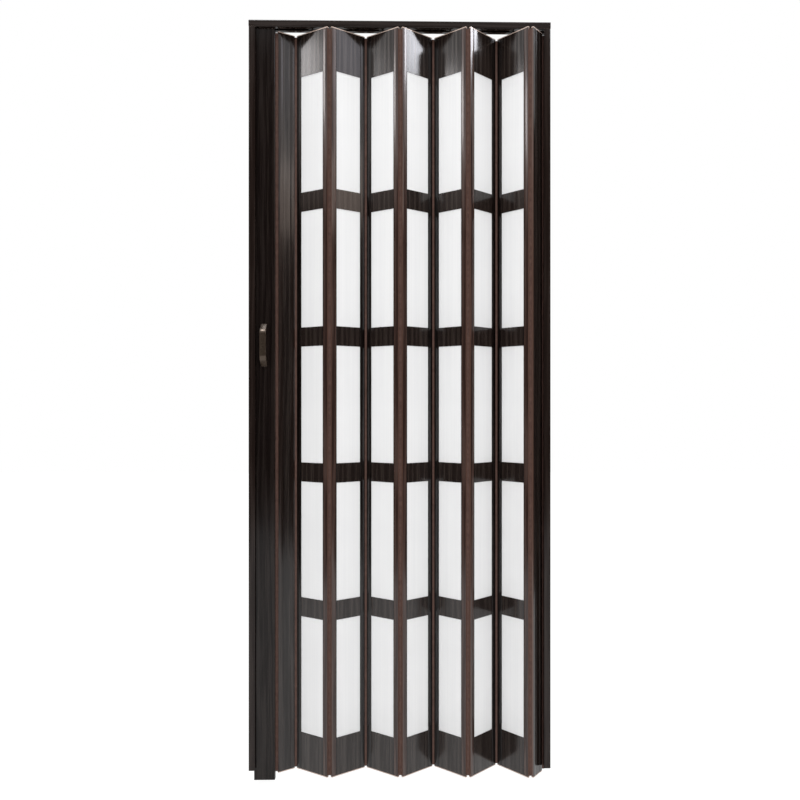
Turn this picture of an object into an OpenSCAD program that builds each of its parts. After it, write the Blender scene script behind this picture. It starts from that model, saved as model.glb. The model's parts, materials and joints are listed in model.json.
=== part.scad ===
// Concertina folding door in its own frame, almost closed.
// Millimetres, +Z up, front towards -Y. The origin is the middle of the rail's top face.

/* [Frame] */
// Width of the frame over both jambs
frame_w = 808; // [770:1:850]
// Height of the frame, from the foot of the jambs to the top of the rail
frame_h = 2002; // [1950:1:2020]
// Depth of the rail and the jambs, front to back
frame_d = 36; // [34:0.5:42]
// Height of the rail
rail_h = 18; // [16:0.5:22]
// Width of the slot along the underside of the rail
rail_slot = 11; // [10:0.5:13]
// Width of a jamb, seen from the front
jamb_w = 17.5; // [15:0.5:22]
// Wall thickness of the rail and the jambs
frame_wall = 1.5; // [1.2:0.1:1.8]
// Radius of the outer edges of the rail and the jambs
frame_r = 3; // [2:0.25:3.5]
// Diameter of the fixing holes in the rail and the jambs
fixing_d = 4.5; // [4:0.1:5]
// Distance from an end of the rail to its first fixing hole
rail_fixing_end = 74; // [60:1:100]
// Distance from an end of a jamb to its first fixing hole
jamb_fixing_end = 160; // [100:1:200]

/* [Slats] */
// Length of the folding slats
slat_h = 1993; // [1960:1:2020]
// Width of a glazed slat
slat_w = 102; // [99:0.5:105]
// Thickness of a slat at the crown of its edge strips
slat_t = 7; // [6.6:0.1:7.6]
// Width of the crowned strip along each edge of a slat
stile_w = 13.6; // [13:0.1:15]
// Rise of the crown on the edge strips
crown = 0.5; // [0.3:0.05:0.6]
// Thickness of the plain field between the edge strips
field_t = 6.2; // [6:0.1:6.6]
// Thickness of the skins of a slat
skin = 1; // [0.8:0.1:1.1]
// Gap between the rail and the tops of the slats
hang_gap = 5; // [4:0.5:10]

/* [Panes] */
// Number of openings in a glazed slat
window_n = 5; // [3:1:6]
// Height of an opening
window_h = 314; // [230:1:318]
// Height of the bar between two openings
bar_h = 51.5; // [40:0.5:54]
// Height of the field above the top opening
head_h = 115; // [90:1:120]
// Play of the pane in its chamber, on each side
pane_play = 0.2; // [0.1:0.05:0.3]

/* [Folds] */
// Gap from the end of a slat to the line it folds about
hinge_gap = 2.4; // [2.2:0.1:3]
// Gap from the crown of a slat to the line it folds about
face_gap = 0.6; // [0.5:0.05:0.9]
// How much more the last fold is folded than the first, in degrees
fold_spread = 19; // [0:1:22]
// Least mean fold of the shut door, in degrees: a wider frame takes more slats
shut_fold = 36; // [30:1:37]
// Radius of the bead along each edge of a hinge strip
bead_r = 0.9; // [0.8:0.05:1]
// Thickness of the soft web of a hinge strip
web_t = 0.8; // [0.6:0.05:0.9]
// How much the hinge strips fall short of the slats at each end
strip_short = 4; // [3:0.5:12]

/* [Lead slat] */
// Width of the lead slat
lead_w = 56; // [50:0.5:64]
// Thickness of the lead slat
lead_t = 18; // [16:0.5:20]
// Wall thickness of the lead slat
lead_wall = 1.6; // [1.4:0.1:2]
// Radius of the edges of the lead slat
lead_r = 2.5; // [1.5:0.25:4]
// How far the lead slat stands in the left jamb
lead_in = 4.5; // [3:0.5:8]
// How much the lead slat is longer than the others at its foot
lead_foot = 15; // [6:0.5:18]

/* [Handle] */
// Height of the middle of the handle above the foot of the slats
handle_z = 1148; // [1000:1:1250]
// Length of the handle over its feet
handle_l = 116; // [110:1:130]
// Length of the grip bar
grip_l = 78; // [70:1:84]
// Width of the handle
handle_w = 17; // [14:0.5:20]
// How far the handle stands off the lead slat
handle_out = 32; // [28:0.5:38]
// Thickness of the grip bar
grip_t = 7; // [6:0.5:8]
// Length of each foot of the handle
foot_l = 14; // [12:0.5:16]
// Thickness of the feet of the handle
foot_t = 4; // [3:0.5:5]
// Radius of the corners of the feet, seen from the front
foot_r = 6; // [3:0.5:7]
// Diameter of the studs that hold the handles
stud_d = 4; // [3.5:0.1:4.5]

/* [Gliders] */
// Diameter of a glider's disc
disc_d = 22; // [20:0.5:24]
// Thickness of a glider's disc at its rim
disc_t = 3; // [2.5:0.1:4]
// Diameter of a glider's pin
pin_d = 5; // [4.5:0.1:5.5]
// Depth of a glider's plug in its slat
plug_h = 40; // [30:1:44]
// Width of the plug in a glazed slat
plug_w = 30; // [20:1:40]
// Play of a glider's disc above the lips of the rail
glide_play = 0.6; // [0.5:0.1:1]

/* [Hidden] */
$fn = 48;
clear = 0.1;

// pieces of the frame
jamb_foot = -frame_h;
jamb_h = frame_h - rail_h;
jamb_in = frame_w / 2 - jamb_w;
lip_top = -rail_h + frame_wall;
post_inset = 1;
post_face = jamb_in + post_inset;
fixing_n = 4;
fixing_y = frame_d / 2 - frame_wall - 5;
driver_d = 7;
end_gap = 4;

// heights
slat_top = -rail_h - hang_gap;
slat_foot = slat_top - slat_h;
lead_gap = 1;
lead_top = -rail_h - lead_gap;
lead_h = lead_top - slat_foot + lead_foot;

// section of a slat
seam_x = slat_w / 2 - stile_w;
web = 1.2;
chamber_w = 2 * seam_x - web;
chamber_t = field_t - 2 * skin;
edge_solid = 4.8;
lip = 0.6;
window_w = chamber_w - 2 * lip;
bead_in = 2;
groove_out = 5;
seam = 0.9;
field_lap = 0.5;
pane_foot = 4;
pane_gap = 5;
bead_n = slat_t / 2 - crown - 1.8;
groove_r = bead_r + clear;
groove_slot = web_t + 4 * clear;

// lines the slats fold about
pivot_n = slat_t / 2 + face_gap;
leg = [bead_in + hinge_gap, pivot_n - bead_n];
run = slat_w + 2 * hinge_gap;
rise = 2 * pivot_n;
half_gap = 3;
half_w = run / 2 - hinge_gap - half_gap;

// the number of slats: pairs of folds, so that both half slats come out on the rail's line
lead_x = -jamb_in - lead_in;
x_first = lead_x + lead_w + end_gap;
x_last = post_face - end_gap;
pitch = run * cos(shut_fold) + rise * sin(shut_fold);
last = 2 * ceil((x_last - x_first) / (2 * pitch));
n_full = last - 1;

// the folds: element 0 is the left half slat, the last is the right half slat, the others are glazed
function share(i) = i == 0 || i == last ? 0.5 : 1;
function lag(i) = fold_spread * pow(i / last, 2);
function total(v, i = 0) = i == len(v) ? 0 : v[i] + total(v, i + 1);
sum_c = total([for (i = [0:last]) share(i) * (run * cos(lag(i)) + rise * sin(lag(i)))]);
sum_s = total([for (i = [0:last]) share(i) * (rise * cos(lag(i)) - run * sin(lag(i)))]);
first_fold = atan2(sum_s, sum_c) + acos((x_last - x_first) / norm([sum_c, sum_s]));
function fold(i) = first_fold + lag(i);
function side(i) = i % 2 == 0 ? 1 : -1;
function turn(i) = side(i) * fold(i);
function dx(i) = share(i) * (run * cos(fold(i)) + rise * sin(fold(i)));
function dy(i) = share(i) * side(i) * (run * sin(fold(i)) - rise * cos(fold(i)));
function px(k) = k == 0 ? x_first : px(k - 1) + dx(k - 1);
function py(k) = k == 0 ? 0 : py(k - 1) + dy(k - 1);

// handle
bend = 3;
stud_gap = handle_l - foot_l;
stud_in = 6;
stud_hole = 9;
handle_mid = slat_foot + handle_z;
lead_mid = lead_x + lead_w / 2;

function named(word, list) = [for (i = list) str(word, "_", i)];

wenge = [0.16, 0.13, 0.12];
opal = [0.93, 0.93, 0.92];
brown = [0.38, 0.26, 0.2];
bronze = [0.3, 0.25, 0.2];
nylon = [0.15, 0.15, 0.15];
steel = [0.7, 0.7, 0.7];

// A rectangle with round corners
module round_box(w, d, r) {
    square([w - 2 * r, d], center = true);
    square([w, d - 2 * r], center = true);
    for (x = [-1, 1], y = [-1, 1])
        translate([x * (w / 2 - r), y * (d / 2 - r)])
        circle(r);
}

// Places evenly spaced from -half to half
function spaced(half) = [for (i = [0:fixing_n - 1]) half * (2 * i / (fixing_n - 1) - 1)];

// A C channel along X, open underneath, with its fixing holes
module top_rail() {
    color(wenge)
    difference() {
        translate([-frame_w / 2, 0, 0])
        rotate([90, 0, 90])
        linear_extrude(frame_w)
        difference() {
            translate([0, -rail_h / 2])
            round_box(frame_d, rail_h, frame_r);
            translate([0, -rail_h / 2])
            square([frame_d - 2 * frame_wall, rail_h - 2 * frame_wall], center = true);
            translate([0, -rail_h])
            square([rail_slot, 3 * frame_wall], center = true);
        }
        for (x = spaced(frame_w / 2 - rail_fixing_end))
            translate([x, 0, -2 * frame_wall])
            cylinder(d = fixing_d, h = 3 * frame_wall);
    }
}

// A U channel, open towards the door, with its fixing holes
module jamb(s) {
    color(wenge)
    difference() {
        translate([0, 0, jamb_foot])
        linear_extrude(jamb_h)
        difference() {
            intersection() {
                translate([s * jamb_in, 0])
                round_box(2 * jamb_w, frame_d, frame_r);
                translate([s * (frame_w - jamb_w) / 2, 0])
                square([jamb_w, frame_d], center = true);
            }
            translate([s * (frame_w / 2 - frame_wall - jamb_w / 2), 0])
            square([jamb_w, frame_d - 2 * frame_wall], center = true);
        }
        fixings()
        translate([s * (frame_w / 2 - frame_wall / 2), 0])
        rotate([0, 90, 0])
        cylinder(d = fixing_d, h = 3 * frame_wall, center = true);
    }
}

// The places of a jamb's fixing holes, behind the middle, clear of what stands in the channel
module fixings() {
    for (z = spaced(jamb_h / 2 - jamb_fixing_end))
        translate([0, fixing_y, jamb_foot + jamb_h / 2 + z])
        children();
}

// The insert in the right jamb: a box that fills the channel and holds the last hinge strip
module wall_post() {
    w = frame_w / 2 - frame_wall - post_face;
    d = frame_d - 2 * frame_wall - 2 * clear;
    color(wenge)
    difference() {
        translate([0, 0, jamb_foot])
        linear_extrude(jamb_h - clear)
        difference() {
            union() {
                difference() {
                    translate([post_face, -d / 2])
                    square([w, d]);
                    translate([post_face + frame_wall, -d / 2 + frame_wall])
                    square([w - 2 * frame_wall, d - 2 * frame_wall]);
                }
                translate([post_face, py(last + 1) - edge_solid / 2])
                square([edge_solid, edge_solid]);
            }
            translate([post_face, py(last + 1)])
            rotate(180)
            groove(0);
        }
        fixings()
        translate([post_face, 0, 0])
        rotate([0, 90, 0])
        cylinder(d = driver_d, h = 2 * w, center = true);
    }
}

// A groove for the bead of a strip, in an end that faces +X: its slot leaves at an angle
module groove(a) {
    translate([-bead_in, 0]) {
        circle(groove_r);
        rotate(a)
        translate([0, -groove_slot / 2])
        square([bead_in + groove_out, groove_slot]);
    }
}

// A strip with crowned faces
module crowned(w) {
    r = (w * w / 4 + crown * crown) / (2 * crown);
    intersection() {
        square([w, slat_t], center = true);
        translate([0, slat_t / 2 - r])
        circle(r, $fn = 180);
        translate([0, r - slat_t / 2])
        circle(r, $fn = 180);
    }
}

// The outline of a slat of width w: crowned edge strips, a field, and seams between them
module slat_outline(w) {
    s = w / 2 - stile_w;
    difference() {
        union() {
            for (m = [-1, 1])
                translate([m * (w - stile_w) / 2, 0])
                crowned(stile_w);
            square([2 * (s + field_lap), field_t], center = true);
        }
        for (m = [-1, 1], f = [-1, 1])
            translate([m * s, f * field_t / 2])
            rotate(45)
            square(seam, center = true);
    }
}

// The hollows of a slat of width w
module slat_hollows(w) {
    s = w / 2 - stile_w;
    square([2 * s - web, chamber_t], center = true);
    for (m = [-1, 1])
        translate([m * (s + web / 2 + (stile_w - web / 2 - edge_solid) / 2), 0])
        square([stile_w - web / 2 - edge_solid, chamber_t], center = true);
}

// The hinge groove at the end towards +X and the face towards +Y
module fold_groove(w) {
    translate([w / 2, bead_n])
    groove(atan2(leg[1], leg[0]));
}

// A glazed slat: one extrusion with a hinge groove at two opposite corners
module glazed_slat(i) {
    color(wenge)
    translate([(px(i) + px(i + 1)) / 2, (py(i) + py(i + 1)) / 2, slat_foot])
    rotate(turn(i))
    mirror([0, i % 2 == 0 ? 1 : 0, 0])
    difference() {
        linear_extrude(slat_h)
        difference() {
            slat_outline(slat_w);
            slat_hollows(slat_w);
            fold_groove(slat_w);
            rotate(180)
            fold_groove(slat_w);
        }
        for (k = [0:window_n - 1])
            translate([0, 0, slat_h - head_h - window_h / 2 - k * (window_h + bar_h)])
            cube([window_w, 2 * slat_t, window_h], center = true);
    }
}

// The opal strip that stands in the middle chamber of a glazed slat
module pane(i) {
    h = slat_h - plug_h - pane_gap - pane_foot;
    color(opal)
    translate([(px(i) + px(i + 1)) / 2, (py(i) + py(i + 1)) / 2, slat_foot + pane_foot + h / 2])
    rotate(turn(i))
    cube([chamber_w - 2 * pane_play, chamber_t - 2 * pane_play, h], center = true);
}

// A plain half slat, drawn from the line it turns about at its near end
module half_slat() {
    color(wenge)
    translate([0, 0, slat_foot])
    linear_extrude(slat_h)
    translate([half_gap + half_w / 2, 0])
    difference() {
        slat_outline(half_w);
        slat_hollows(half_w);
        mirror([0, 1])
        fold_groove(half_w);
        translate([-half_w / 2, 0])
        rotate(180)
        groove(0);
    }
}

module left_half_slat() {
    translate([px(0), py(0), 0])
    rotate(turn(0))
    half_slat();
}

module right_half_slat() {
    translate([px(last + 1), py(last + 1), 0])
    rotate(180 + turn(last))
    half_slat();
}

// One leg of a hinge strip, from the fold line to the bead at p
module strip_leg(p) {
    circle(web_t / 2);
    rotate(atan2(p[1], p[0]))
    translate([0, -web_t / 2])
    square([norm(p), web_t]);
    translate(p)
    circle(bead_r);
}

// A soft strip at fold k, between element k - 1 and element k
module fold_strip(k) {
    s = -side(k);
    strip(k)
    union() {
        rotate(turn(k - 1))
        strip_leg([-leg[0], s * leg[1]]);
        rotate(turn(k))
        strip_leg([leg[0], s * leg[1]]);
    }
}

// A soft strip at an end of the door: a leg to the half slat at angle a, and one to what carries it
module end_strip(k, a) {
    strip(k)
    union() {
        rotate(a)
        strip_leg([half_gap + bead_in, 0]);
        rotate(k == 0 ? 180 : 0)
        strip_leg([end_gap + bead_in, 0]);
    }
}

module hinge_strip(k) {
    if (k == 0)
        end_strip(k, turn(0));
    else if (k == last + 1)
        end_strip(k, 180 + turn(last));
    else
        fold_strip(k);
}

module strip(k) {
    color(brown)
    translate([px(k), py(k), slat_foot + strip_short])
    linear_extrude(slat_h - 2 * strip_short)
    children();
}

// The lead slat: a box with round edges, bored for the handle studs
module lead_slat() {
    wall = lead_wall;
    color(wenge)
    difference() {
        translate([lead_mid, 0, slat_foot - lead_foot])
        linear_extrude(lead_h)
        difference() {
            round_box(lead_w, lead_t, lead_r);
            translate([-(edge_solid - wall) / 2, 0])
            square([lead_w - wall - edge_solid, lead_t - 2 * wall], center = true);
            translate([lead_w / 2, 0])
            groove(0);
        }
        stud_places()
        cylinder(d = stud_d + 2 * clear, h = 2 * lead_t, center = true);
    }
}

module stud_places() {
    for (s = [-1, 1])
        translate([lead_mid, 0, handle_mid + s * stud_gap / 2])
        rotate([90, 0, 0])
        children();
}

// A bow handle on the face of the lead slat: s is -1 in front and 1 behind
module handle(s) {
    f = handle_l / 2;
    g = grip_l / 2;
    o = handle_out;
    i = handle_out - grip_t;
    j = grip_l / 2 - grip_t;
    k = handle_l / 2 - foot_l;
    color(bronze)
    translate([0, s * lead_t / 2, 0])
    difference() {
        intersection() {
            translate([lead_mid - handle_w / 2, 0, handle_mid])
            rotate([90, 0, 90])
            linear_extrude(handle_w)
            polygon([for (p = [
                [0, -f], [foot_t, -f], [o - bend, -g], [o, bend - g],
                [o, g - bend], [o - bend, g], [foot_t, f], [0, f],
                [0, k], [foot_t - 1, k], [i - bend, j], [i, j - bend],
                [i, bend - j], [i - bend, -j], [foot_t - 1, -k], [0, -k]
            ]) [s * p[0], p[1]]]);
            translate([lead_mid, 0, handle_mid])
            rotate([90, 0, 0])
            linear_extrude(3 * handle_out, center = true)
            round_box(handle_w, handle_l, foot_r);
        }
        stud_places()
        cylinder(d = stud_d + clear, h = 2 * stud_hole, center = true);
    }
}

// Two studs, each from the foot of one handle to the foot of the other
module handle_studs() {
    color(steel)
    stud_places()
    cylinder(d = stud_d, h = lead_t + 2 * stud_in, center = true);
}

// A glider: a plug of the given size in the top of a slat, a pin and a disc in the rail
module glider(w, d, top) {
    disc_foot = lip_top + glide_play;
    color(nylon) {
        translate([0, 0, top - plug_h / 2])
        cube([w, d, plug_h], center = true);
        translate([0, 0, top - disc_t / 2])
        cylinder(d = pin_d, h = disc_foot - top + disc_t);
        translate([0, 0, disc_foot])
        cylinder(d = disc_d, h = disc_t);
        translate([0, 0, disc_foot + disc_t])
        cylinder(d1 = disc_d, d2 = disc_d / 2, h = disc_t * 2 / 3);
    }
}

module slat_glider(i) {
    translate([(px(i) + px(i + 1)) / 2, (py(i) + py(i + 1)) / 2, 0])
    rotate(turn(i))
    glider(plug_w, chamber_t - 2 * clear, slat_top);
}

module lead_glider() {
    w = lead_w - lead_wall - edge_solid - 2 * clear;
    translate([lead_mid - (edge_solid - lead_wall) / 2, 0, 0])
    glider(w, lead_t - 2 * lead_wall - 2 * clear, lead_top);
}

top_rail();
jamb(-1);  // left_jamb
jamb(1);  // right_jamb
wall_post();
lead_slat();
left_half_slat();
right_half_slat();
for (i = [1:n_full]) {
    glazed_slat(i);
    pane(i);
}
for (k = [0:last + 1])
    hinge_strip(k);
for (i = [1:2:n_full])
    slat_glider(i);
lead_glider();
handle(-1);  // front_handle
handle(1);  // back_handle
handle_studs();
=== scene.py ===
"""Folding door with opal panes: finishes, soft hinge strips, bow handles, light and camera."""
import json
import math

import bmesh
import bpy
from mathutils import Matrix, Vector


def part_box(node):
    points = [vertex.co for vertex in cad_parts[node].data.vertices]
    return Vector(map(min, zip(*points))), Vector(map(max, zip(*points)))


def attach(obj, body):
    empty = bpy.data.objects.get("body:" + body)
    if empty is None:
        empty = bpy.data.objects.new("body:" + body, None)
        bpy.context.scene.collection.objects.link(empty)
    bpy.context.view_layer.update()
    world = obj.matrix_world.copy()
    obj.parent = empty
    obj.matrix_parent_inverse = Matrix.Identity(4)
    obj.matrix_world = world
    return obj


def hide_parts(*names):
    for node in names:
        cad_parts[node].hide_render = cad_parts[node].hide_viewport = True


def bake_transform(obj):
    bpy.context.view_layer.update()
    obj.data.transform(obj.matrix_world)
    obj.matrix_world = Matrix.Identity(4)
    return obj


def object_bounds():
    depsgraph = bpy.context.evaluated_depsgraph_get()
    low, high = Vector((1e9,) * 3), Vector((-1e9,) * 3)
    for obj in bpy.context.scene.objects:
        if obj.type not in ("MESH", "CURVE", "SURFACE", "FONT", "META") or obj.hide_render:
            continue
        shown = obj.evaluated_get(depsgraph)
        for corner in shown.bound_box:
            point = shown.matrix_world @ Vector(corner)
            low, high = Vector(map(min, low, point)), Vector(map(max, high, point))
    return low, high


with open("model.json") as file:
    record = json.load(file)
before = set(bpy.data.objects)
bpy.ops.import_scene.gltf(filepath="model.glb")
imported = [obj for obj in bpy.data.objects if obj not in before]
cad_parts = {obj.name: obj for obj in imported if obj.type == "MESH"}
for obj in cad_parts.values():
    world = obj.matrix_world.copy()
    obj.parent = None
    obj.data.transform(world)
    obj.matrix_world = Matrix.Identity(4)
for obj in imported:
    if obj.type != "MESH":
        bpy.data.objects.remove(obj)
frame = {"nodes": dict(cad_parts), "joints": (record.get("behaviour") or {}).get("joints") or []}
cad_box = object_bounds()

MM = 0.001
TOUCH = 0.1 * MM
SHARP = math.radians(35)

# the slats: 0 is the left half slat, 1 to 7 are glazed, 8 is the right half slat
LAST = 8
SLAT_W = 102 * MM
SLAT_T = 7 * MM
CROWN = 0.5 * MM
STILE_W = 13.6 * MM
HINGE_GAP = 2.4 * MM
FACE_GAP = 0.6 * MM
HALF_GAP = 3 * MM
END_GAP = 4 * MM
CUT_LINE = 2.2 * MM
END_SKIN = 0.05 * MM

# the soft strips: a bead in a groove on each side, and a thin web between them
BEAD_IN = 2 * MM
BEAD_DEPTH = 1.8 * MM
BEAD_R = 0.9 * MM
WEB_T = 0.8 * MM
FOLD_R = 1.3 * MM
FOLD_STEPS = 6

# the bow handles
HANDLE_L = 116 * MM
GRIP_L = 78 * MM
HANDLE_W = 17 * MM
HANDLE_OUT = 32 * MM
GRIP_T = 7 * MM
FOOT_L = 14 * MM
FOOT_T = 4 * MM
FOOT_R = 5 * MM
BEND = 3 * MM
BOW_R = 9 * MM
HANDLE_ROUND = 1.6 * MM

# the door hangs a little above the floor
FLOOR_GAP = 12 * MM

# the photograph's camera
CAMERA_LENS = 33.04
CAMERA_AT = (-0.0346, -1.98, -1.0267)
CAMERA_YAW = math.radians(-1)
CAMERA_SHIFT = 0.0059

joint_at = {joint["name"]: Vector(joint["pos_m"]) for joint in frame["joints"]}
FOLD_LINES = [joint_at["lead_fold"]]
FOLD_LINES += [joint_at[f"fold_{k}"] for k in range(1, LAST + 1)]
FOLD_LINES += [joint_at["wall_fold"]]
PIVOT_OUT = SLAT_T / 2 + FACE_GAP
RUN = SLAT_W + 2 * HINGE_GAP
SKEW = math.atan2(2 * PIVOT_OUT, RUN)
HALF_W = RUN / 2 - HINGE_GAP - HALF_GAP


def side(i):
    """Which way a slat is turned: 1 with its right end to the back, -1 with it to the front."""
    return 1 if i % 2 == 0 else -1


def turn(i):
    """The angle of a slat about the upright, read from the lines it folds about."""
    along = FOLD_LINES[i + 1] - FOLD_LINES[i]
    return math.atan2(along.y, along.x) + side(i) * SKEW


def turned(angle, x, y):
    return Matrix.Rotation(angle, 3, "Z") @ Vector((x, y, 0))


def slat_body(i):
    return {0: "left_half", LAST: "right_half"}.get(i, f"slat_{i}")


def slat_centre(i):
    if i == 0:
        return FOLD_LINES[0] + turned(turn(0), HALF_GAP + HALF_W / 2, 0)
    if i == LAST:
        return FOLD_LINES[-1] - turned(turn(LAST), HALF_GAP + HALF_W / 2, 0)
    return (FOLD_LINES[i] + FOLD_LINES[i + 1]) / 2


# nodes of a material
def add(tree, kind, inputs=None, **values):
    """Adds a node; an input is a value, or the socket that feeds it."""
    node = tree.nodes.new(kind)
    for name, value in values.items():
        setattr(node, name, value)
    for name, value in (inputs or {}).items():
        if isinstance(value, bpy.types.NodeSocket):
            tree.links.new(value, node.inputs[name])
        else:
            node.inputs[name].default_value = value
    return node


def sums(tree, operation, a, b):
    return add(tree, "ShaderNodeMath", {0: a, 1: b}, operation=operation).outputs[0]


def ramp(tree, factor, stops):
    node = add(tree, "ShaderNodeValToRGB", {"Fac": factor})
    elements = node.color_ramp.elements
    stops = list(stops)
    while len(elements) < len(stops):
        elements.new(0.5)
    for element, (place, colour) in zip(elements, stops):
        element.position = place
        element.color = (*colour, 1)
    return node.outputs["Color"]


def mix_colour(tree, factor, a, b):
    node = add(tree, "ShaderNodeMix", data_type="RGBA")
    for socket, value in ((0, factor), (6, a), (7, b)):
        if isinstance(value, bpy.types.NodeSocket):
            tree.links.new(value, node.inputs[socket])
        else:
            node.inputs[socket].default_value = (*value, 1)
    return node.outputs[2]


def new_group(name, inputs, outputs):
    group = bpy.data.node_groups.new(name, "ShaderNodeTree")
    for socket, kind in inputs:
        group.interface.new_socket(socket, in_out="INPUT", socket_type=kind)
    for socket in outputs:
        group.interface.new_socket(socket, in_out="OUTPUT", socket_type="NodeSocketFloat")
    return group, add(group, "NodeGroupInput"), add(group, "NodeGroupOutput")


def make_streaks():
    """Wood streaks that run along Z: broad and fine bands, a flamed figure and pores."""
    group, entry, leave = new_group("wood_streaks", [("Vector", "NodeSocketVector")], ["Tone", "Pores"])

    def stretched(share):
        return add(group, "ShaderNodeVectorMath",
                   {0: entry.outputs[0], 1: (1, 1, share)}, operation="MULTIPLY").outputs[0]

    broad = add(group, "ShaderNodeTexNoise",
                {"Vector": stretched(0.04), "Scale": 120, "Detail": 4, "Distortion": 0.8})
    fine = add(group, "ShaderNodeTexNoise",
               {"Vector": stretched(0.02), "Scale": 430, "Detail": 5, "Distortion": 0.4})
    figure = add(group, "ShaderNodeTexWave",
                 {"Vector": stretched(0.06), "Scale": 18, "Distortion": 14, "Detail": 3},
                 wave_type="BANDS", bands_direction="X")
    pores = add(group, "ShaderNodeTexNoise",
                {"Vector": stretched(0.012), "Scale": 900, "Detail": 2, "Roughness": 0.5})
    tone = sums(group, "MULTIPLY", broad.outputs["Fac"], 0.38)
    tone = sums(group, "ADD", tone, sums(group, "MULTIPLY", fine.outputs["Fac"], 0.46))
    tone = sums(group, "ADD", tone, sums(group, "MULTIPLY", figure.outputs["Fac"], 0.16))
    group.links.new(tone, leave.inputs["Tone"])
    group.links.new(pores.outputs["Fac"], leave.inputs["Pores"])
    return group


STREAKS = make_streaks()


def new_material(name):
    material = bpy.data.materials.new(name)
    material.use_nodes = True
    material.node_tree.nodes.clear()
    return material, material.node_tree


def finish_material(tree, inputs):
    shader = add(tree, "ShaderNodeBsdfPrincipled", inputs)
    add(tree, "ShaderNodeOutputMaterial", {"Surface": shader.outputs[0]})


# tones of the foil, from its dark streaks to its light ones
TONE_PLACES = (0.41, 0.5, 0.6)
LEAD_TONES = ((0.0068, 0.0044, 0.0038), (0.0095, 0.0062, 0.0053), (0.0148, 0.0103, 0.0086))
HALF_TONES = ((0.0098, 0.0066, 0.0056), (0.0148, 0.0102, 0.0086), (0.0235, 0.0172, 0.0143))
GLAZED_TONES = ((0.0138, 0.0092, 0.0078), (0.0196, 0.0132, 0.0111), (0.0295, 0.0212, 0.0176))
RIDGE_TONES = ((0.028, 0.0146, 0.0115), (0.045, 0.0246, 0.0195), (0.065, 0.0375, 0.03))
# painted shade: darker tones for the edge strips that face into a valley, where shade falls between the
# slats
VALLEY_SHADE_TONES = ((0.0035, 0.0022, 0.0019), (0.0062, 0.0039, 0.0033), (0.011, 0.0072, 0.006))
FRAME_TONES = ((0.0118, 0.0072, 0.0058), (0.0155, 0.0095, 0.0077), (0.0218, 0.0142, 0.0116))
CUT_EDGE = (0.6, 0.46, 0.39)
LONG_EDGE = (0.11, 0.06, 0.046)
SLAT_GLOSS = 0.3
FRAME_GLOSS = 0.15


def foil(name, node, tones, gloss, centre, angle=0, width=None, strips=None, lying=False):
    """Wood-grain foil on hollow plastic. Cut ends show the raw plastic, and so do a slat's long edges.

    A slat's edge strips are brown at a ridge and darker in a valley, where the darker tones are painted
    shade for the shade that falls there. The first tones in strips are for the two strips where x and y in
    the slat's own frame have the same sign, the second for the other two.
    """
    material, tree = new_material(name)
    place = add(tree, "ShaderNodeTexCoord")
    tip = math.pi / 2 if lying else 0
    local = add(tree, "ShaderNodeMapping",
                {"Vector": place.outputs["Object"], "Location": centre, "Rotation": (0, tip, angle)},
                vector_type="TEXTURE").outputs[0]
    streaks = add(tree, "ShaderNodeGroup", node_tree=STREAKS)
    tree.links.new(local, streaks.inputs["Vector"])
    tone = streaks.outputs["Tone"]
    wood = ramp(tree, tone, zip(TONE_PLACES, tones))
    across, out, along = add(tree, "ShaderNodeSeparateXYZ", {0: local}).outputs

    def past(offset, limit):
        return sums(tree, "GREATER_THAN", sums(tree, "ABSOLUTE", offset, 0), limit)

    if width:
        first, second = (ramp(tree, tone, zip(TONE_PLACES, strip)) for strip in strips)
        # each edge strip takes the ridge tones or the valley tones; the valley ones are painted shade
        is_first = sums(tree, "GREATER_THAN", sums(tree, "MULTIPLY", across, out), 0)
        edge_strip = mix_colour(tree, is_first, second, first)
        wood = mix_colour(tree, past(across, width / 2 - STILE_W), wood, edge_strip)
        wood = mix_colour(tree, past(across, width / 2 - END_SKIN), wood, LONG_EDGE)
    low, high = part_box(node)
    length = high.x - low.x if lying else high.z - low.z
    cut = past(along, length / 2 - (CUT_LINE if width else END_SKIN))
    rough = add(tree, "ShaderNodeMapRange", {"Value": tone, 1: 0.3, 2: 0.7, 3: 0.1, 4: 0.28})
    rough = sums(tree, "MAXIMUM", rough.outputs[0], sums(tree, "MULTIPLY", cut, 0.55))
    bump = add(tree, "ShaderNodeBump",
               {"Height": streaks.outputs["Pores"], "Strength": 0.12, "Distance": 0.0003})
    shine = add(tree, "ShaderNodeMapRange", {"Value": tone, 1: 0.4, 2: 0.6, 3: 0.8 * gloss, 4: 1.9 * gloss})
    finish_material(tree, {
        "Base Color": mix_colour(tree, cut, wood, CUT_EDGE),
        "Roughness": rough,
        "Specular IOR Level": gloss,
        "Coat Weight": shine.outputs[0],
        "Coat Roughness": 0.12,
        "Normal": bump.outputs[0],
    })
    return material


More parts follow.
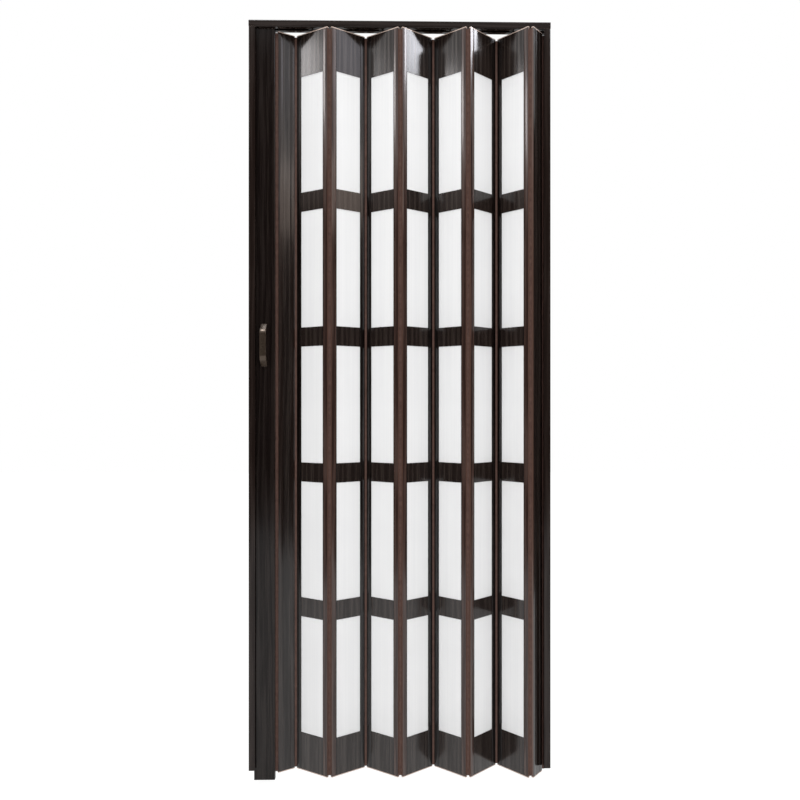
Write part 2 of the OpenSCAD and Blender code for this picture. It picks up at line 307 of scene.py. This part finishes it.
def opal(name, centre, angle):
    """Opal plastic with faint drawing lines along its length."""
    material, tree = new_material(name)
    place = add(tree, "ShaderNodeTexCoord")
    local = add(tree, "ShaderNodeMapping",
                {"Vector": place.outputs["Object"], "Location": centre, "Rotation": (0, 0, angle)},
                vector_type="TEXTURE")
    long_lines = add(tree, "ShaderNodeVectorMath",
                     {0: local.outputs[0], 1: (1, 0, 0.01)}, operation="MULTIPLY")
    lines = add(tree, "ShaderNodeTexNoise",
                {"Vector": long_lines.outputs[0], "Scale": 160, "Detail": 3, "Roughness": 0.5})
    clouds = add(tree, "ShaderNodeTexNoise", {"Vector": local.outputs[0], "Scale": 7, "Detail": 2})
    tone = sums(tree, "ADD", sums(tree, "MULTIPLY", lines.outputs["Fac"], 0.6),
                sums(tree, "MULTIPLY", clouds.outputs["Fac"], 0.4))
    bump = add(tree, "ShaderNodeBump",
               {"Height": lines.outputs["Fac"], "Strength": 0.05, "Distance": 0.0005})
    rough = add(tree, "ShaderNodeMapRange", {"Value": tone, 1: 0.3, 2: 0.7, 3: 0.5, 4: 0.62})
    finish_material(tree, {
        "Base Color": ramp(tree, tone, [(0.35, (0.855, 0.855, 0.86)), (0.65, (0.905, 0.905, 0.905))]),
        "Roughness": rough.outputs[0],
        "Specular IOR Level": 0.25,
        "Normal": bump.outputs[0],
    })
    return material


def moulded(name, dark, light, scale, rough, metal=0.0, bump=0.1, gloss=0.5):
    """A moulded or lacquered surface with a fine mottle."""
    material, tree = new_material(name)
    place = add(tree, "ShaderNodeTexCoord")
    mottle = add(tree, "ShaderNodeTexNoise",
                 {"Vector": place.outputs["Object"], "Scale": scale, "Detail": 4, "Roughness": 0.6})
    relief = add(tree, "ShaderNodeBump",
                 {"Height": mottle.outputs["Fac"], "Strength": bump, "Distance": 0.0003})
    sheen = add(tree, "ShaderNodeMapRange",
                {"Value": mottle.outputs["Fac"], 1: 0.3, 2: 0.7, 3: rough - 0.06, 4: rough + 0.06})
    finish_material(tree, {
        "Base Color": ramp(tree, mottle.outputs["Fac"], [(0.3, dark), (0.7, light)]),
        "Roughness": sheen.outputs[0],
        "Metallic": metal,
        "Specular IOR Level": gloss,
        "Normal": relief.outputs[0],
    })
    return material


def dress(node, material):
    """Puts one finish on a CAD node."""
    slots = frame["nodes"][node].data.materials
    slots.clear()
    slots.append(material)


SOFT_BROWN = moulded("soft_brown", (0.075, 0.038, 0.029), (0.12, 0.064, 0.05), 90, 0.42, gloss=0.2)
BRONZE = moulded("bronze_lacquer", (0.052, 0.036, 0.025), (0.078, 0.055, 0.039), 350, 0.24,
                 metal=0.5, bump=0.04)
NYLON = moulded("black_nylon", (0.016, 0.016, 0.016), (0.026, 0.026, 0.026), 260, 0.5)
STEEL = moulded("zinc_steel", (0.42, 0.42, 0.43), (0.58, 0.58, 0.58), 500, 0.33, metal=1.0)


def dress_frame():
    for node in ("top_rail", "left_jamb", "right_jamb", "wall_post"):
        low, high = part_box(node)
        dress(node, foil(f"{node}_foil", node, FRAME_TONES, FRAME_GLOSS, (low + high) / 2,
                         lying=node == "top_rail"))


def dress_slats():
    for i in range(LAST + 1):
        node = {0: "left_half_slat", LAST: "right_half_slat"}.get(i, f"slat_{i}")
        if i in (0, LAST):
            width, tones, strips = HALF_W, HALF_TONES, (FRAME_TONES, FRAME_TONES)
        else:
            # the edge strips that face into a valley get the painted shade tones
            strips = (RIDGE_TONES, VALLEY_SHADE_TONES) if side(i) > 0 else (VALLEY_SHADE_TONES, RIDGE_TONES)
            width, tones = SLAT_W, GLAZED_TONES
        dress(node, foil(f"{node}_foil", node, tones, SLAT_GLOSS, slat_centre(i), turn(i), width, strips))
    for i in range(1, LAST):
        dress(f"pane_{i}", opal(f"pane_{i}_opal", slat_centre(i), turn(i)))
    low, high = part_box("lead_slat")
    dress("lead_slat", foil("lead_slat_foil", "lead_slat", LEAD_TONES, FRAME_GLOSS, (low + high) / 2))


def dress_fittings():
    for node in ("glider_1", "glider_3", "glider_5", "glider_7", "lead_glider"):
        dress(node, NYLON)
    dress("handle_studs", STEEL)


def new_piece(name, bm, material):
    """Makes a piece of a finished bmesh, smooth but for its sharp edges."""
    bmesh.ops.recalc_face_normals(bm, faces=bm.faces)
    mesh = bpy.data.meshes.new(name)
    bm.to_mesh(mesh)
    bm.free()
    mesh.materials.append(material)
    for face in mesh.polygons:
        face.use_smooth = True
    mesh.set_sharp_from_angle(angle=SHARP)
    piece = bpy.data.objects.new(name, mesh)
    bpy.context.scene.collection.objects.link(piece)
    return piece


def strip_ends(k):
    """The two beads of strip k, seen from its fold line, and the bodies that hold them."""
    if k == 0:
        return (-END_GAP - BEAD_IN, 0), turned(turn(0), HALF_GAP + BEAD_IN, 0), "lead", slat_body(0)
    if k == LAST + 1:
        return turned(turn(LAST), -HALF_GAP - BEAD_IN, 0), (END_GAP + BEAD_IN, 0), slat_body(LAST), "frame"
    out = -side(k) * (PIVOT_OUT - (SLAT_T / 2 - CROWN - BEAD_DEPTH))
    reach = BEAD_IN + HINGE_GAP
    left = turned(turn(k - 1), -reach, out)
    return left, turned(turn(k), reach, out), slat_body(k - 1), slat_body(k)


def hinge_strip(k):
    """A soft strip: a web bent round its fold line, with a bead along each edge."""
    line = FOLD_LINES[k]
    low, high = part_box(f"strip_{k}")
    left, right, left_body, right_body = strip_ends(k)
    left, right = Vector((*left[:2], 0)), Vector((*right[:2], 0))
    corner_a, corner_b = left.normalized() * FOLD_R, right.normalized() * FOLD_R
    path = [left]
    for step in range(FOLD_STEPS + 1):
        t = step / FOLD_STEPS
        path.append(corner_a * (1 - t) ** 2 + corner_b * t ** 2)
    path.append(right)
    foot = Vector((line.x, line.y, low.z))
    bm = bmesh.new()
    verts = [bm.verts.new(foot + point) for point in path]
    edges = [bm.edges.new(pair) for pair in zip(verts, verts[1:])]
    wall = bmesh.ops.extrude_edge_only(bm, edges=edges)["geom"]
    raised = [item for item in wall if isinstance(item, bmesh.types.BMVert)]
    bmesh.ops.translate(bm, verts=raised, vec=(0, 0, high.z - low.z))
    bm.normal_update()
    for vert in bm.verts:
        vert.co -= vert.normal * (WEB_T / 2)
    bmesh.ops.solidify(bm, geom=bm.faces[:], thickness=-WEB_T)
    for point in (left, right):
        middle = foot + point + Vector((0, 0, (high.z - low.z) / 2))
        bmesh.ops.create_cone(bm, cap_ends=True, segments=16, radius1=BEAD_R, radius2=BEAD_R,
                              depth=high.z - low.z, matrix=Matrix.Translation(middle))
    piece = new_piece(f"hinge_strip_{k}", bm, SOFT_BROWN)
    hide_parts(f"strip_{k}")
    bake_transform(piece)


def bow_handle(name, out):
    """A bow handle from its side outline, with round corners on its feet and soft edges."""
    low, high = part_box(name)
    lead_low, lead_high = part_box("lead_slat")
    face = lead_high.y if out > 0 else lead_low.y
    middle = (low + high) / 2
    foot_end, grip_end = HANDLE_L / 2, GRIP_L / 2
    foot_start = foot_end - FOOT_L
    hollow_out, hollow_end = HANDLE_OUT - GRIP_T, grip_end - GRIP_T
    crest = grip_end - BEND * (foot_end - grip_end) / (HANDLE_OUT - BEND - FOOT_T)
    inner = [(0, foot_start), (FOOT_T - MM, foot_start), (hollow_out - BEND, hollow_end),
             (hollow_out, hollow_end - BEND)]
    outer = [(HANDLE_OUT, crest), (FOOT_T, foot_end), (0, foot_end)]
    outline = [(a, -b) for a, b in inner] + inner[::-1] + outer[::-1] + [(a, -b) for a, b in outer]
    bm = bmesh.new()
    x = middle.x - HANDLE_W / 2
    verts = [bm.verts.new((x, face + out * a, middle.z + b)) for a, b in outline]
    bmesh.ops.extrude_face_region(bm, geom=[bm.faces.new(verts)])
    bm.verts.ensure_lookup_table()
    bmesh.ops.translate(bm, verts=bm.verts[len(verts):], vec=(HANDLE_W, 0, 0))
    bmesh.ops.recalc_face_normals(bm, faces=bm.faces)

    def is_foot(edge):
        a, b = (vert.co - middle for vert in edge.verts)
        return abs(a.x - b.x) < TOUCH and min(abs(a.z), abs(b.z)) > foot_end - TOUCH

    def is_bend(edge):
        a, b = (vert.co for vert in edge.verts)
        lies_out = min(abs(a.y - face), abs(b.y - face)) > HANDLE_OUT - TOUCH
        return lies_out and abs(a.z - b.z) < TOUCH

    for test, radius in ((is_bend, BOW_R), (is_foot, FOOT_R)):
        bmesh.ops.bevel(bm, geom=[e for e in bm.edges if test(e)], offset=radius, segments=6, profile=0.5,
                        affect="EDGES", material=-1)
    sharp = [e for e in bm.edges if e.is_manifold and e.calc_face_angle() > SHARP]
    bmesh.ops.bevel(bm, geom=sharp, offset=HANDLE_ROUND, segments=3, profile=0.5,
                    affect="EDGES", material=-1, clamp_overlap=True)
    piece = new_piece(f"{name}_bow", bm, BRONZE)
    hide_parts(name)
    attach(piece, "lead")


# light, floor and camera
def seen(tree):
    """1 for rays from the camera, from gloss and through glass, 0 for the light that falls on things."""
    path = add(tree, "ShaderNodeLightPath")
    rays = sums(tree, "MAXIMUM", path.outputs["Is Camera Ray"], path.outputs["Is Glossy Ray"])
    return sums(tree, "MAXIMUM", rays, path.outputs["Is Transmission Ray"])


def light_world(level):
    world = bpy.data.worlds.new("white_studio")
    bpy.context.scene.world = world
    world.use_nodes = True
    tree = world.node_tree
    tree.nodes.clear()
    shown = add(tree, "ShaderNodeBackground", {"Color": (1, 1, 1, 1), "Strength": 1})
    lit = add(tree, "ShaderNodeBackground", {"Color": (1, 1, 1, 1), "Strength": level})
    both = add(tree, "ShaderNodeMixShader", {0: seen(tree), 1: lit.outputs[0], 2: shown.outputs[0]})
    add(tree, "ShaderNodeOutputWorld", {"Surface": both.outputs[0]})


def lay_floor(height, half=9.0):
    """A pale floor that reads as white paper and keeps a soft shadow."""
    bm = bmesh.new()
    place = Matrix.Translation((0, 0, height))
    bmesh.ops.create_grid(bm, x_segments=1, y_segments=1, size=half, matrix=place)
    material, tree = new_material("pale_floor")
    lit = add(tree, "ShaderNodeBsdfDiffuse", {"Color": (0.9, 0.9, 0.9, 1)})
    paper = add(tree, "ShaderNodeBsdfDiffuse", {"Color": (0.25, 0.25, 0.25, 1)})
    glow = add(tree, "ShaderNodeEmission", {"Color": (1, 1, 1, 1), "Strength": 0.86})
    shown = add(tree, "ShaderNodeAddShader", {0: paper.outputs[0], 1: glow.outputs[0]})
    both = add(tree, "ShaderNodeMixShader", {0: seen(tree), 1: lit.outputs[0], 2: shown.outputs[0]})
    add(tree, "ShaderNodeOutputMaterial", {"Surface": both.outputs[0]})
    new_piece("floor", bm, material)


def soft_box(name, at, towards, size, power):
    lamp = bpy.data.lights.new(name, "AREA")
    lamp.shape = "RECTANGLE"
    lamp.size, lamp.size_y = size
    lamp.energy = power
    box = bpy.data.objects.new(name, lamp)
    box.location = at
    box.rotation_euler = (Vector(towards) - Vector(at)).to_track_quat("-Z", "Y").to_euler()
    bpy.context.scene.collection.objects.link(box)


def sheen_box(name, at, towards, size, radiance, colour=(1, 1, 1)):
    """A soft box that is seen in shiny faces and adds no other light."""
    soft_box(name, at, towards, size, radiance * math.pi * size[0] * size[1])
    box = bpy.data.objects[name]
    box.data.color = colour
    box.visible_diffuse = False


def dark_card(name, at, towards, size):
    """A dark card beside the picture, seen in shiny faces only, as in the photograph's dim studio."""
    bm = bmesh.new()
    facing = (Vector(towards) - Vector(at)).to_track_quat("Z", "Y").to_matrix().to_4x4()
    place = Matrix.Translation(at) @ facing @ Matrix.Diagonal((*size, 1, 1))
    bmesh.ops.create_grid(bm, x_segments=1, y_segments=1, size=0.5, matrix=place)
    material, tree = new_material(f"{name}_black")
    black = add(tree, "ShaderNodeBsdfDiffuse", {"Color": (0.01, 0.01, 0.01, 1)})
    add(tree, "ShaderNodeOutputMaterial", {"Surface": black.outputs[0]})
    card = new_piece(name, bm, material)
    card.visible_camera = False
    card.visible_diffuse = False
    card.visible_transmission = False
    card.visible_shadow = False


def set_camera():
    camera = bpy.data.cameras.new("camera")
    camera.lens = CAMERA_LENS
    camera.shift_y = CAMERA_SHIFT
    eye = bpy.data.objects.new("camera", camera)
    eye.location = CAMERA_AT
    eye.rotation_euler = (math.pi / 2, 0, CAMERA_YAW)
    bpy.context.scene.collection.objects.link(eye)
    bpy.context.scene.camera = eye


set_camera()
dress_frame()
dress_slats()
dress_fittings()
for k in range(LAST + 2):
    hinge_strip(k)
bow_handle("front_handle", -1)
bow_handle("back_handle", 1)

low, high = cad_box
floor_z = low.z - FLOOR_GAP
light_world(1.03)
lay_floor(floor_z)
head = (0, 0, high.z - 0.1)
soft_box("top_box", (0, -0.9, 1.7), (0, 0, -0.8), (1.6, 0.5), 13)
sheen_box("left_sheen", (-2.0, -0.5, 0.67), head, (0.42, 0.38), 9, (1, 0.96, 0.96))
sheen_box("left_low_sheen", (-2.05, -0.62, 0.25), head, (0.7, 0.45), 0.5, (1, 0.86, 0.78))
sheen_box("right_sheen", (2.0, -0.27, 0.97), head, (0.78, 0.42), 17, (0.92, 0.93, 1))
sheen_box("right_front_sheen", (2.0, -1.2, 1.1), head, (0.6, 0.5), 1.7, (0.88, 0.86, 1))
sheen_box("right_low_sheen", (2.05, -1.4, 0.3), head, (1.0, 0.45), 2.2, (1, 0.82, 0.72))
sheen_box("handle_sheen", (-0.77, -0.65, 1.5), (-0.36, 0, -0.83), (0.8, 0.8), 14)
dark_card("lintel_card", (0.42, 0.065, 0.14), (0, 0.065, 0.14), (0.12, 0.32))
for name, x, y, wide, top in (("left_card", -2.3, -1.0, 5.0, 0.5),
                              ("right_card", 2.3, -1.0, 5.0, 0.5),
                              ("front_card", 0, -4.2, 4.6, 2.1)):
    middle = (floor_z + top) / 2
    towards = (0, y, middle) if x else (0, 0, middle)
    dark_card(name, (x, y, middle), towards, (wide, top - floor_z))

bpy.context.scene.view_settings.view_transform = "Standard"
